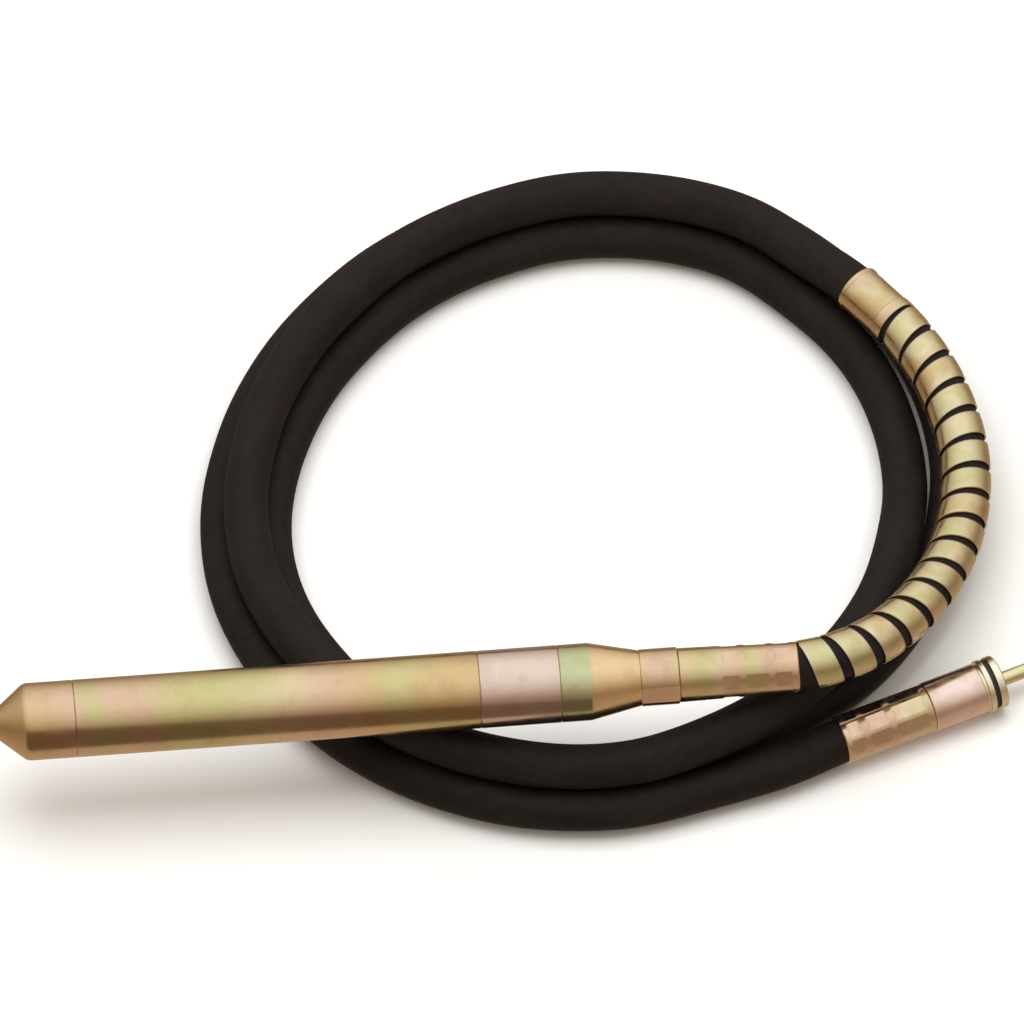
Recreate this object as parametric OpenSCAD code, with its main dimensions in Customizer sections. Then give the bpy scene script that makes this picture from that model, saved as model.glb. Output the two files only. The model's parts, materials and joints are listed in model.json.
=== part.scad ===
// Flexible-shaft concrete vibrator: a steel poker head, a rubber hose wound in a flat coil, and a
// drive coupling. The head lies across the coil with its nose towards -X. The origin is on the
// ground, below the middle of the head and the drive coupling taken together.

/* [Head] */
// Outer diameter of the head
head_d = 51; // [50:0.5:52]
// Bore of the head tube and of the bearing housing
bore_d = 40; // [39.5:0.5:40.5]
// Length of the nose, tip to joint
nose_len = 55; // [51:1:58]
// Half angle of the nose cone
nose_angle = 39.5; // [36:0.5:44]
// Length of the plain tube behind the nose
tube_len = 266; // [262:1:270]
// Length of the bearing housing band
housing_len = 53; // [52:1:56]
// Length of the straight land on the tail cone
tail_land = 20; // [18:1:24]
// Length of the tail cone's taper
tail_taper = 33; // [30:1:36]

/* [Neck and ferrules] */
// Diameter of the hose nut behind the tail cone
nut_d = 37.5; // [36:0.5:39]
// Length of the hose nut
nut_len = 25.5; // [24:0.5:28]
// Depth of the two wrench flats on the hose nut
nut_flat = 1.3; // [1:0.1:2]
// Diameter of the ferrule on the head end of the hose
head_ferrule_d = 35.7; // [34.5:0.1:37]
// Length of the ferrule on the head end
head_ferrule_len = 79; // [78:0.5:84]
// How much the head ferrule's radius shrinks towards its mouth
head_ferrule_taper = 1.3; // [0:0.1:1.3]
// Depth of each crimp band
crimp_depth = 0.6; // [0.3:0.1:0.8]

/* [Hose] */
// Outer diameter of the rubber hose
hose_d = 30; // [29:0.5:30]
// Bore of the rubber hose
hose_bore_d = 20.6; // [20.4:0.1:21]
// Outer diameter of the spiral steel liner
liner_d = 19.8; // [19:0.1:19.8]
// Bore of the liner
liner_bore_d = 15.4; // [15:0.1:15.6]
// Diameter of the flexible wire core
core_d = 12; // [11:0.5:12]

/* [Guard spring] */
// Number of turns of the flat strip
guard_turns = 16; // [12:1:18]
// Width of the flat strip
strip_w = 16.5; // [12:0.5:18]
// Thickness of the flat strip
strip_t = 1.2; // [1:0.1:1.4]

/* [Drive coupling] */
// Diameter of the ferrule on the drive end
drive_ferrule_d = 32.4; // [32:0.1:33]
// Length of the ferrule on the drive end
drive_ferrule_len = 63.6; // [62:0.2:66]
// Diameter of the coupling sleeve
coupling_d = 33.5; // [33:0.1:34]
// Length of the coupling sleeve
coupling_len = 37.5; // [37:0.5:42]
// Diameter of the two flanges of the coupling ring
ring_d = 35.6; // [35:0.1:36]
// Length of the coupling ring
ring_len = 14; // [13.5:0.5:15]
// Diameter of the drive tip
tip_d = 9.5; // [9:0.1:10]
// How far the drive tip stands out of the ring
tip_len = 28; // [20:1:35]

/* [Rotor and bearings] */
// Diameter of the eccentric rotor
rotor_d = 34; // [30:1:35]
// Height of the rotor's flat above its axis
rotor_flat = 4; // [2:0.5:8]
// Number of balls in each bearing
ball_count = 8; // [7:1:8]
// Diameter of each ball
ball_d = 6.4; // [6:0.1:6.4]

/* [Hidden] */
$fn = 96;

plated = [0.82, 0.72, 0.52];
plated_pink = [0.88, 0.76, 0.68];
steel = [0.62, 0.63, 0.65];
rubber_black = [0.13, 0.12, 0.11];
bronze = [0.71, 0.52, 0.28];
seal_black = [0.09, 0.09, 0.1];

// Where the head lies: the tip of its nose, its axis running along +X
nose_tip = [-349, -3, 83];

// Stations along the head axis, counted from the nose tip
x_tube = nose_len;
x_housing = x_tube + tube_len;
x_tail = x_housing + housing_len;
x_taper = x_tail + tail_land;
x_nut = x_taper + tail_taper;
x_ferrule = x_nut + nut_len;
x_hose_out = x_ferrule + head_ferrule_len;
ferrule_wall = 4;
x_hose_end = x_ferrule + ferrule_wall;
head_r = head_d / 2;
bore_r = bore_d / 2;

// Bearings: 17 mm bore, as wide as a 40 mm bearing is
bearing_w = 12;
bearing_bore_r = 8.5;
ball_pitch_r = 14.25;
race_gap = 0.25;
fit_gap = 0.01;
spigot_len = 16;
x_front_bearing = x_tube + spigot_len + 2;
x_rear_bearing = x_housing + 5.1;
rear_pitch = bearing_w + 0.1;
x_circlip = x_rear_bearing + 2 * rear_pitch + 0.1;
x_seal = x_circlip + 3.5;
tail_spigot_len = 11.5;
socket_r = 10;
socket_len = 40;
x_socket = x_circlip + 1.5;
stem_r = 11.5;
stem_flange_r = 14;
stem_flange_len = 5;
x_stem = x_nut + 14;
stem_bore_r = 7.7;
stem_barb_r = 10.2;
core_grip = 18;
core_clear = 0.08;
core_end_r = 7.3;
ferrule_bore_r = 14.8;

// The coil lies flat: one turn on top of two turns on the ground
loop_centre = [65, 185];
ground_z = hose_d / 2;
inner_r = 212;
outer_r = 243;
top_r = 227.5;
top_z = 42;
turn = 360;

// Stations of the hose between the head and the drive coupling: polar angle about the centre of
// the coil, counted on through every turn, then radius and height. Straight between stations.
STATIONS = [
    [-52.5, 230.5, 81.5],
    [-45, 238, 76.5],
    [-37.5, 241.5, 69.5],
    [-30, 243.5, 62.5],
    [-22.5, 245, 56.5],
    [-15, 245.5, 51],
    [-7.5, 245.5, 48],
    [0, 244.5, 47],
    [15, 239, 47],
    [27, 233.5, 46],
    [36, 230, 45],
    [45, 227.5, 43.5],
    [60, top_r, 42.5],
    [75, top_r, top_z],
    [270, top_r, top_z],
    [285, 225, 43.5],
    [300, 219, 46],
    [315, 214, 46],
    [330, 209, 41],
    [345, 205, 33],
    [360, 206, ground_z],
    [390, 210, ground_z],
    [420, inner_r, ground_z],
    [645, inner_r, ground_z],
    [660, 215, ground_z],
    [675, 222, ground_z],
    [690, 226.5, ground_z],
    [705, 232, ground_z],
    [720, 238, ground_z],
    [735, 241, ground_z],
    [750, outer_r, ground_z],
    [1005, outer_r, ground_z],
];
// The coil isn't quite round: how far every turn bulges or flattens at an angle
BULGES = [[0, 0], [45, 0], [60, 4], [75, 2.5], [90, 0], [105, -4.5], [120, -6.5], [135, -8],
    [150, -6], [165, -2], [180, 4], [195, 8], [225, 8], [240, 5.5], [255, 3], [270, 0],
    [285, -4], [300, -2], [315, 0], [360, 0]];
// The hose leaves the coil here and runs straight to the drive coupling
lead_point = [167, -36.5, 16];
// Mouth of the drive ferrule and the direction in which the coupling points
drive_mouth = [209, -20.5, ring_d / 2];
drive_angle = 19.5;

guard_ring_angles = [for (a = [-52.5 : 7.5 : 22.5]) a];
sleeve_angles = [26, 36];
coil_ring_angles = [for (a = [45 : 15 : 1005]) a];
ring_angles = concat(guard_ring_angles, sleeve_angles, coil_ring_angles);

function station(a, column) = lookup(a, [for (s = STATIONS) [s[0], s[column]]]);
function bulge(a) = a < 0 ? 0 : lookup(a % turn, BULGES);
function coil_point(a) =
    let (r = station(a, 1) + bulge(a))
    [loop_centre[0] + r * cos(a), loop_centre[1] + r * sin(a), station(a, 2)];
function head_point(x) = nose_tip + [x, 0, 0];
function drive_point(s) = drive_mouth + s * [cos(drive_angle), sin(drive_angle), 0];

coil_points = [for (a = ring_angles) coil_point(a)];
// A route through the whole hose, from x along the head to s along the coupling
function hose_route(x, s) = concat(
    [head_point(x), head_point(x_hose_out)],
    coil_points,
    [lead_point, drive_point(0), drive_point(s)]);

function unit(v) = v / norm(v);
function direction(path, i) = unit(path[i + 1] - path[i]);
// Direction of the route at its point i: halfway between the stretches that meet there
function tangent(path, i) =
    i == 0 ? direction(path, 0) :
    i == len(path) - 1 ? direction(path, i - 1) :
    unit(direction(path, i - 1) + direction(path, i));
// Sideways and upward directions square to a tangent
function side_of(t) = unit(cross(t, [0, 0, 1]));
function up_of(t) = cross(side_of(t), t);
function around(t, a) = cos(a) * side_of(t) + sin(a) * up_of(t);

// Rings of a swept tube: one list of points for each point of the path
function tube_ring(path, i, r, sides) = [
    for (j = [0 : sides - 1]) path[i] + r * around(tangent(path, i), j * 360 / sides)];
function wall_faces(rings, sides, start, flip) = [
    for (i = [0 : rings - 2], j = [0 : sides - 1], half = [0, 1])
        let (
            a = start + i * sides + j,
            b = start + i * sides + (j + 1) % sides,
            face = half == 0 ? [a, b, b + sides] : [a, b + sides, a + sides]
        )
        flip ? [face[2], face[1], face[0]] : face];
function end_faces(sides, outer, inner, flip) = [
    for (j = [0 : sides - 1], half = [0, 1])
        let (
            k = (j + 1) % sides,
            face = half == 0 ? [outer + j, inner + j, inner + k] : [outer + j, inner + k, outer + k]
        )
        flip ? [face[2], face[1], face[0]] : face];
function count_down(n) = [for (j = [n - 1 : -1 : 0]) j];

// A hollow tube along a path
module swept_pipe(path, r_out, r_in, sides) {
    n = len(path);
    inner_start = n * sides;
    outer_points = [for (i = [0 : n - 1]) each tube_ring(path, i, r_out, sides)];
    inner_points = [for (i = [0 : n - 1]) each tube_ring(path, i, r_in, sides)];
    polyhedron(
        points = concat(outer_points, inner_points),
        faces = concat(
            wall_faces(n, sides, 0, true),
            wall_faces(n, sides, inner_start, false),
            end_faces(sides, 0, inner_start, true),
            end_faces(sides, inner_start - sides, 2 * inner_start - sides, false)));
}

// A solid rod along a path
module swept_rod(path, r, sides) {
    n = len(path);
    last = (n - 1) * sides;
    polyhedron(
        points = [for (i = [0 : n - 1]) each tube_ring(path, i, r, sides)],
        faces = concat(
            wall_faces(n, sides, 0, true),
            [[for (j = [0 : sides - 1]) j]],
            [[for (j = count_down(sides)) last + j]]));
}

// The guard spring runs over the hose from the head ferrule to the guard sleeve
guard_path = concat(
    [head_point(x_hose_out)],
    [for (a = guard_ring_angles) coil_point(a)],
    [coil_point(sleeve_angles[0])]);
function path_lengths(path) = [
    for (i = 0, s = 0; i < len(path);
        s = s + (i < len(path) - 1 ? norm(path[i + 1] - path[i]) : 0), i = i + 1) s];
guard_lengths = path_lengths(guard_path);
guard_len = guard_lengths[len(guard_lengths) - 1];
// The spring starts square to the head ferrule
guard_tangents = concat(
    [[1, 0, 0]],
    [for (i = [1 : len(guard_path) - 2]) tangent(guard_path, i)],
    [tangent(hose_route(x_hose_end, 1), len(guard_path))]);
strip_r_in = hose_d / 2 + 0.6;
strip_r_out = strip_r_in + strip_t;
strip_steps = 16;
// The gaps open on the outside of the bend, so there the strip covers less of the route
guard_bend_r = 240;
// Both ends of the strip are ground flat, square to the hose
strip_end_gap = 1;
strip_from = 4.6;
strip_to = guard_len - 5;
strip_pitch = guard_len / guard_turns;
strip_twist = (strip_to - strip_from) / strip_pitch * 360;
// Where around the hose the strip starts: on the side that faces the coil
strip_phase = 190;

// A point near the guard path: s along it, r out from it, a around it
function guard_point(s, r, a) =
    let (
        last = len(guard_path) - 2,
        k = min(last, max(0, len([for (g = guard_lengths) if (g <= s) g]) - 1)),
        f = (s - guard_lengths[k]) / (guard_lengths[k + 1] - guard_lengths[k]),
        here = guard_path[k] + r * around(guard_tangents[k], a),
        there = guard_path[k + 1] + r * around(guard_tangents[k + 1], a)
    )
    here + f * (there - here);
function strip_corners(turned, a) =
    let (
        s = strip_from + strip_pitch * turned / 360,
        half = strip_w / 2 / (1 + strip_r_out * cos(a) / guard_bend_r),
        near = max(s - half, strip_end_gap),
        far = min(s + half, guard_len - strip_end_gap)
    )
    [guard_point(near, strip_r_in, a), guard_point(far, strip_r_in, a),
        guard_point(far, strip_r_out, a), guard_point(near, strip_r_out, a)];

// Solid of revolution whose outline is a list of [radius, distance along the axis]
module turned_part(outline) {
    rotate_extrude()
        polygon(outline);
}
// Plain ring
module ring(r_in, r_out, from, to) {
    turned_part([[r_in, from], [r_out, from], [r_out, to], [r_in, to]]);
}
module on_head() {
    translate(nose_tip)
        rotate([0, 90, 0])
            children();
}
module on_drive() {
    translate(drive_mouth)
        rotate([0, 0, drive_angle])
            rotate([0, 90, 0])
                children();
}
// Points of an arc whose tangent turns from angle a to angle b away from the radial direction
function turning_arc(centre_r, centre_x, r, a, b) = [
    for (k = [0 : 6])
        let (t = a + (b - a) * k / 6)
        [centre_r + r * sin(t), centre_x - r * cos(t)]];

// Nose: blunt cone with a spigot that screws into the tube
nose_flat_r = 5.5;
nose_edge_r = 3;
nose_shoulder_r = 8;
o_ring_r = 1.5;
groove_w = 3.4;
groove_depth = 3.05;
function nose_outline() =
    let (
        slope = 90 - nose_angle,
        tip = turning_arc(nose_flat_r, nose_edge_r, nose_edge_r, 0, slope),
        rise = head_r - nose_shoulder_r * (1 - sin(slope)) - tip[6][0],
        shoulder_x = tip[6][1] + rise / tan(nose_angle) + nose_shoulder_r * cos(slope)
    )
    concat(
        [[0, 0]],
        tip,
        turning_arc(head_r - nose_shoulder_r, shoulder_x, nose_shoulder_r, slope, 90),
        [[head_r, nose_len - 0.5], [head_r - 0.5, nose_len], [bore_r, nose_len]]);
module nose_cone() {
    color(plated)
        on_head()
            difference() {
                turned_part(concat(
                    nose_outline(),
                    [[bore_r, nose_len + 4], [bore_r - groove_depth, nose_len + 4],
                        [bore_r - groove_depth, nose_len + 4 + groove_w],
                        [bore_r, nose_len + 4 + groove_w], [bore_r, nose_len + spigot_len],
                        [0, nose_len + spigot_len]]));
                translate([0, 0, nose_len + 2])
                    cylinder(r = 13, h = spigot_len);
            }
}
// O-ring that sits in a groove of a spigot
module seal_ring(x) {
    color(seal_black)
        on_head()
            translate([0, 0, x])
                rotate_extrude()
                    translate([bore_r - o_ring_r - 0.02, 0])
                        circle(r = o_ring_r, $fn = 32);
}
module nose_seal_ring() {
    seal_ring(nose_len + 4 + groove_w / 2);
}
module head_tube() {
    color(plated)
        on_head()
            turned_part([[bore_r + fit_gap, x_tube], [head_r - 0.5, x_tube],
                [head_r, x_tube + 0.5], [head_r, x_housing - 0.5], [head_r - 0.5, x_housing],
                [bore_r + fit_gap, x_housing]]);
}
module preload_ring() {
    color(steel)
        on_head()
            ring(17.2, bore_r - 0.1, x_tube + spigot_len, x_front_bearing);
}

// Bearing pieces, drawn from x = 0 to bearing_w
race_r = ball_d / 2 + race_gap;
inner_land_r = 12;
outer_land_r = 16.5;
module outer_race() {
    difference() {
        ring(outer_land_r, bore_r - fit_gap, 0, bearing_w);
        translate([0, 0, bearing_w / 2])
            rotate_extrude()
                translate([ball_pitch_r, 0])
                    circle(r = race_r, $fn = 48);
    }
}
module inner_race() {
    difference() {
        ring(bearing_bore_r + fit_gap, inner_land_r, 0, bearing_w);
        translate([0, 0, bearing_w / 2])
            rotate_extrude()
                translate([ball_pitch_r, 0])
                    circle(r = race_r, $fn = 48);
    }
}
module ball_set() {
    for (k = [0 : ball_count - 1])
        rotate([0, 0, k * 360 / ball_count])
            translate([ball_pitch_r, 0, bearing_w / 2])
                sphere(d = ball_d, $fn = 32);
}
cage_r_in = 13.4;
cage_r_out = 15.1;
cage_w = 9;
module cage() {
    difference() {
        ring(cage_r_in, cage_r_out, (bearing_w - cage_w) / 2, (bearing_w + cage_w) / 2);
        for (k = [0 : ball_count - 1])
            rotate([0, 0, k * 360 / ball_count])
                translate([0, 0, bearing_w / 2])
                    rotate([0, 90, 0])
                        cylinder(d = ball_d + 0.3, h = bore_r, $fn = 48);
    }
}
module at_front_bearing() {
    on_head()
        translate([0, 0, x_front_bearing])
            children();
}
module at_rear_bearings() {
    for (k = [0, 1])
        on_head()
            translate([0, 0, x_rear_bearing + k * rear_pitch])
                children();
}
module front_bearing_outer() {
    color(steel)
        at_front_bearing()
            outer_race();
}
module front_bearing_inner() {
    color(steel)
        at_front_bearing()
            inner_race();
}
module front_bearing_cage() {
    color(bronze)
        at_front_bearing()
            cage();
}
module front_bearing_balls() {
    color(steel)
        at_front_bearing()
            ball_set();
}
module rear_bearing_outers() {
    color(steel)
        at_rear_bearings()
            outer_race();
}
module rear_bearing_inners() {
    color(steel)
        at_rear_bearings()
            inner_race();
}
module rear_bearing_cages() {
    color(bronze)
        at_rear_bearings()
            cage();
}
module rear_bearing_balls() {
    color(steel)
        at_rear_bearings()
            ball_set();
}

// Rotor: two journals and a long weight that is cut flat above the axis, so it hangs down
shoulder_r = 10.5;
rotor_tail_r = 6;
rotor_tail_len = 14;
x_weight = x_front_bearing + bearing_w + 6;
x_weight_end = x_housing - 22;
module eccentric_rotor() {
    color(steel)
        on_head() {
            translate([0, 0, x_front_bearing])
                cylinder(r = bearing_bore_r, h = bearing_w + 1);
            translate([0, 0, x_front_bearing + bearing_w + 0.1])
                cylinder(r = shoulder_r, h = 6);
            difference() {
                translate([0, 0, x_weight])
                    cylinder(d = rotor_d, h = x_weight_end - x_weight);
                translate([-rotor_d - rotor_flat, -rotor_d, x_weight - 1])
                    cube([rotor_d, 2 * rotor_d, x_weight_end - x_weight + 2]);
            }
            translate([0, 0, x_weight_end - 1])
                cylinder(r = shoulder_r, h = x_rear_bearing - x_weight_end + 0.9);
            translate([0, 0, x_rear_bearing - 1])
                cylinder(r = bearing_bore_r, h = x_socket - x_rear_bearing + 0.9);
            translate([0, 0, x_socket - 1])
                cylinder(r = rotor_tail_r, h = rotor_tail_len);
        }
}

// Bearing housing: spigot into the head tube, lip that stops the bearings, circlip groove
lip_r = 14;
lip_w = 5;
circlip_w = 1.75;
circlip_groove_r = bore_r + 1.2;
module bearing_housing() {
    color(plated_pink)
        on_head()
            turned_part([
                [lip_r, x_housing - spigot_len], [bore_r, x_housing - spigot_len],
                [bore_r, x_housing - 4 - groove_w],
                [bore_r - groove_depth, x_housing - 4 - groove_w],
                [bore_r - groove_depth, x_housing - 4], [bore_r, x_housing - 4],
                [bore_r, x_housing + fit_gap], [head_r - 0.5, x_housing + fit_gap],
                [head_r, x_housing + 0.5], [head_r, x_tail - 0.5], [head_r - 0.5, x_tail],
                [bore_r + fit_gap, x_tail], [bore_r + fit_gap, x_circlip + circlip_w],
                [circlip_groove_r, x_circlip + circlip_w], [circlip_groove_r, x_circlip],
                [bore_r + fit_gap, x_circlip], [bore_r + fit_gap, x_housing + lip_w],
                [lip_r, x_housing + lip_w]]);
}
module housing_seal_ring() {
    seal_ring(x_housing - 4 - groove_w / 2);
}
module rear_circlip() {
    color(steel)
        on_head()
            difference() {
                ring(17.4, circlip_groove_r - 0.05, x_circlip + 0.1, x_circlip + circlip_w - 0.1);
                translate([0, 0, x_circlip - 1])
                    linear_extrude(height = circlip_w + 2)
                        polygon([[0, 0], [30, -6], [30, 6]]);
            }
}
seal_w = 7;
module oil_seal() {
    color(seal_black)
        on_head()
            turned_part([[socket_r + 0.06, x_seal + 2.5], [socket_r + 2, x_seal + 0.5],
                [socket_r + 2.5, x_seal + 4.5], [bore_r - 3, x_seal + 5.5],
                [bore_r - 3, x_seal], [bore_r, x_seal], [bore_r, x_seal + seal_w],
                [socket_r + 1.5, x_seal + seal_w], [socket_r + 0.06, x_seal + 4]]);
}
square_w = 8.2;
square_depth = 22;
module drive_socket() {
    color(steel)
        on_head()
            difference() {
                translate([0, 0, x_socket])
                    cylinder(r = socket_r, h = socket_len);
                translate([0, 0, x_socket - 1])
                    cylinder(r = rotor_tail_r + fit_gap, h = rotor_tail_len + 1.5);
                translate([-square_w / 2, -square_w / 2, x_socket + socket_len - square_depth])
                    cube([square_w, square_w, square_depth + 1]);
            }
}

// Tail cone: spigot into the housing, land, taper, and a threaded neck for the hose nut
neck_bore_r = 9;
socket_clear_r = socket_r + 1;
module tail_cone() {
    color(plated)
        on_head()
            turned_part([
                [socket_clear_r, x_tail - tail_spigot_len], [bore_r, x_tail - tail_spigot_len],
                [bore_r, x_tail - 3 - groove_w],
                [bore_r - groove_depth, x_tail - 3 - groove_w],
                [bore_r - groove_depth, x_tail - 3], [bore_r, x_tail - 3],
                [bore_r, x_tail + fit_gap], [head_r - 0.5, x_tail + fit_gap],
                [head_r, x_tail + 0.5], [head_r, x_taper - 1], [head_r - 0.3, x_taper + 0.5],
                [nut_d / 2 - 0.4, x_nut], [stem_flange_r - fit_gap, x_nut],
                [stem_flange_r - fit_gap, x_stem], [neck_bore_r, x_stem],
                [neck_bore_r, x_socket + socket_len + 8],
                [socket_clear_r, x_socket + socket_len + 6]]);
}
module tail_seal_ring() {
    seal_ring(x_tail - 3 - groove_w / 2);
}
// Direction in which the first wrench flat faces, counted around the head axis
flat_facing = -102;
module hose_nut() {
    nut_r = nut_d / 2;
    color(plated)
        on_head()
            difference() {
                turned_part([
                    [stem_flange_r, x_nut + fit_gap], [nut_r - 0.5, x_nut + fit_gap],
                    [nut_r, x_nut + 0.5], [nut_r, x_ferrule - 0.6], [nut_r - 0.6, x_ferrule],
                    [stem_r + fit_gap, x_ferrule],
                    [stem_r + fit_gap, x_stem + stem_flange_len],
                    [stem_flange_r, x_stem + stem_flange_len]]);
                for (side = [0, 180])
                    rotate([0, 0, flat_facing + side])
                        translate([nut_r - nut_flat, -nut_r, x_nut - 1])
                            cube([nut_r, nut_d, nut_len + 2]);
            }
}
// Barbs: saw teeth along the part of a stem that grips the hose
barb_pitch = 8;
barb_step = 0.5;
function barbs(from, count, along) = [
    for (k = [0 : count - 1], edge = [0, 1])
        [stem_barb_r - (edge == 0 ? 0 : barb_step),
            from + along * (k + (edge == 0 ? 0.02 : 0.98)) * barb_pitch]];
stem_barbs = 7;
module hose_stem_head() {
    color(steel)
        on_head()
            turned_part(concat(
                [[stem_bore_r, x_stem + fit_gap], [stem_flange_r - fit_gap, x_stem + fit_gap],
                    [stem_flange_r - fit_gap, x_stem + stem_flange_len - fit_gap],
                    [stem_r, x_stem + stem_flange_len - fit_gap], [stem_r, x_hose_end]],
                barbs(x_hose_end, stem_barbs, 1),
                [[stem_bore_r, x_hose_end + stem_barbs * barb_pitch]]));
}

// Ferrule: a wall that hooks on the stem, then a crimped skirt over the hose.
// crimps is a list of [start, end] of each crimped band; slope is the skirt's taper.
crimp_edge = 1.2;
function crimp_outline(r, slope, crimps) = [
    for (c = crimps, k = [0 : 3])
        let (at = [c[0], c[0] + crimp_edge, c[1] - crimp_edge, c[1]][k])
        [r - slope * at - (k == 1 || k == 2 ? crimp_depth : 0), at]];
module crimped_skirt(r, r_mouth, len, crimps) {
    slope = (r - r_mouth) / len;
    turned_part(concat(
        [[stem_r + fit_gap, 0], [r - 0.6, 0], [r - slope * 0.6, 0.6]],
        crimp_outline(r, slope, crimps),
        [[r_mouth + slope * 0.8, len - 0.8], [r_mouth - 0.8, len], [ferrule_bore_r, len],
            [ferrule_bore_r, ferrule_wall], [stem_r + fit_gap, ferrule_wall]]));
}
head_crimps = [[27.5, 40.5], [43, 59.5], [62, 74.5]];
drive_crimps = [[3.6, 28], [30.5, 47], [49.5, 60.6]];
module head_ferrule() {
    color(plated_pink)
        on_head()
            translate([0, 0, x_ferrule + fit_gap])
                crimped_skirt(head_ferrule_d / 2, head_ferrule_d / 2 - head_ferrule_taper,
                    head_ferrule_len - fit_gap, head_crimps);
}
// The core's end in the head: a square that slides in the drive socket, and a swaged sleeve
core_grip_x = x_stem - 1 - core_grip;
x_square = x_socket + socket_len - square_depth + 2;
module core_end_head() {
    tang_w = square_w - 0.2;
    color(steel)
        on_head()
            difference() {
                union() {
                    translate([-tang_w / 2, -tang_w / 2, x_square])
                        cube([tang_w, tang_w, square_depth]);
                    translate([0, 0, x_socket + socket_len + 1])
                        cylinder(r = core_end_r, h = x_stem - x_socket - socket_len - 2);
                }
                translate([0, 0, core_grip_x])
                    cylinder(r = core_d / 2 + core_clear, h = core_grip + 1);
            }
}

// Core, liner and hose share the route of the hose
core_sides = 8;
hose_sides = 12;
drive_stem_gap = 3;
core_end_gap = 0.5;
s_core_end = drive_ferrule_len + 18;
s_hose_end = drive_ferrule_len - ferrule_wall;
x_liner = x_hose_end + stem_barbs * barb_pitch + fit_gap;
module drive_core() {
    core_path = hose_route(core_grip_x + core_end_gap, s_core_end - core_end_gap);
    color(steel)
        swept_rod(core_path, core_d / 2, core_sides);
}
module hose_liner() {
    color(steel)
        swept_pipe(hose_route(x_liner, drive_stem_gap), liner_d / 2, liner_bore_d / 2, core_sides);
}
module hose() {
    color(rubber_black)
        swept_pipe(hose_route(x_hose_end, s_hose_end), hose_d / 2, hose_bore_d / 2, hose_sides);
}

module guard_spring() {
    steps = floor(strip_twist / 360 * strip_steps);
    points = [for (k = [0 : steps])
        let (turned = strip_twist * k / steps)
        each strip_corners(turned, strip_phase - turned)];
    last = 4 * steps;
    color([0.85, 0.8, 0.6])
        polyhedron(
            points = points,
            faces = concat(
                wall_faces(steps + 1, 4, 0, true),
                [[0, 1, 2], [0, 2, 3]],
                [[last + 2, last + 1, last], [last + 3, last + 2, last]]));
}
// Straight sleeve that ends the guard, with a collar towards the spring and a bead at the far end
module guard_sleeve() {
    from = coil_point(sleeve_angles[0]);
    to = coil_point(sleeve_angles[1]);
    span = norm(to - from);
    flat = norm([to[0] - from[0], to[1] - from[1]]);
    heading = atan2(to[1] - from[1], to[0] - from[0]);
    sleeve_r_in = hose_d / 2 + 0.1;
    sleeve_r = 16.3;
    collar_r = 16.8;
    color(plated_pink)
        translate(from)
            rotate([0, 0, heading])
                rotate([0, atan2(from[2] - to[2], flat) + 90, 0])
                    turned_part([
                        [sleeve_r_in, 0], [collar_r - 0.4, 0], [collar_r, 0.4],
                        [collar_r, 7.6], [sleeve_r, 8.2], [sleeve_r, span - 4],
                        [collar_r, span - 3.2], [collar_r, span - 1], [collar_r - 0.8, span],
                        [sleeve_r_in, span]]);
}

module drive_ferrule() {
    color(plated)
        on_drive()
            translate([0, 0, drive_ferrule_len])
                mirror([0, 0, 1])
                    crimped_skirt(drive_ferrule_d / 2, drive_ferrule_d / 2,
                        drive_ferrule_len, drive_crimps);
}
stem_thread = 16;
module hose_stem_drive() {
    color(steel)
        on_drive()
            turned_part(concat(
                [[stem_bore_r, drive_ferrule_len + stem_thread],
                    [stem_r, drive_ferrule_len + stem_thread], [stem_r, s_hose_end]],
                barbs(s_hose_end, stem_barbs, -1),
                [[stem_bore_r, s_hose_end - stem_barbs * barb_pitch]]));
}
bush_r = 10;
shaft_r = 7;
shaft_gap = 0.06;
s_ring = drive_ferrule_len + coupling_len;
s_bush = s_core_end + 6.5;
module drive_coupling() {
    r = coupling_d / 2;
    color(plated_pink)
        on_drive()
            turned_part([
                [stem_r + fit_gap, drive_ferrule_len + fit_gap],
                [r - 0.5, drive_ferrule_len + fit_gap], [r, drive_ferrule_len + 0.5],
                [r, s_ring - 0.5], [r - 0.5, s_ring], [bush_r + fit_gap, s_ring],
                [bush_r + fit_gap, s_bush - fit_gap], [bush_r - 1, s_bush - fit_gap],
                [bush_r - 1, drive_ferrule_len + stem_thread + 0.5],
                [stem_r + fit_gap, drive_ferrule_len + stem_thread + 0.5]]);
}
module drive_bush() {
    color(bronze)
        on_drive()
            ring(shaft_r + shaft_gap, bush_r, s_bush, s_ring);
}
// Coupling ring: two flanges with a groove between them
ring_neck_r = 15.6;
ring_neck = 1.8;
flange_w = 3.6;
ring_groove_w = 3.2;
module coupling_ring() {
    r = ring_d / 2;
    s_flange = s_ring + ring_neck;
    s_groove = s_flange + flange_w;
    s_front = s_groove + ring_groove_w;
    s_face = s_ring + ring_len;
    color(plated)
        on_drive()
            turned_part([
                [shaft_r + 2, s_ring + fit_gap], [ring_neck_r, s_ring + fit_gap],
                [ring_neck_r, s_flange], [r, s_flange], [r, s_groove], [ring_neck_r, s_groove],
                [ring_neck_r, s_front], [r, s_front], [r, s_face - 0.8], [r - 0.8, s_face],
                [tip_d / 2 + 0.5, s_face], [tip_d / 2 + 0.5, s_face - 4],
                [shaft_r + 2, s_face - 4]]);
}
module ring_seal() {
    s_groove = s_ring + ring_neck + flange_w;
    color(rubber_black)
        on_drive()
            ring(ring_neck_r + 0.02, 16.9, s_groove + 0.2, s_groove + ring_groove_w - 0.2);
}
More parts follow.
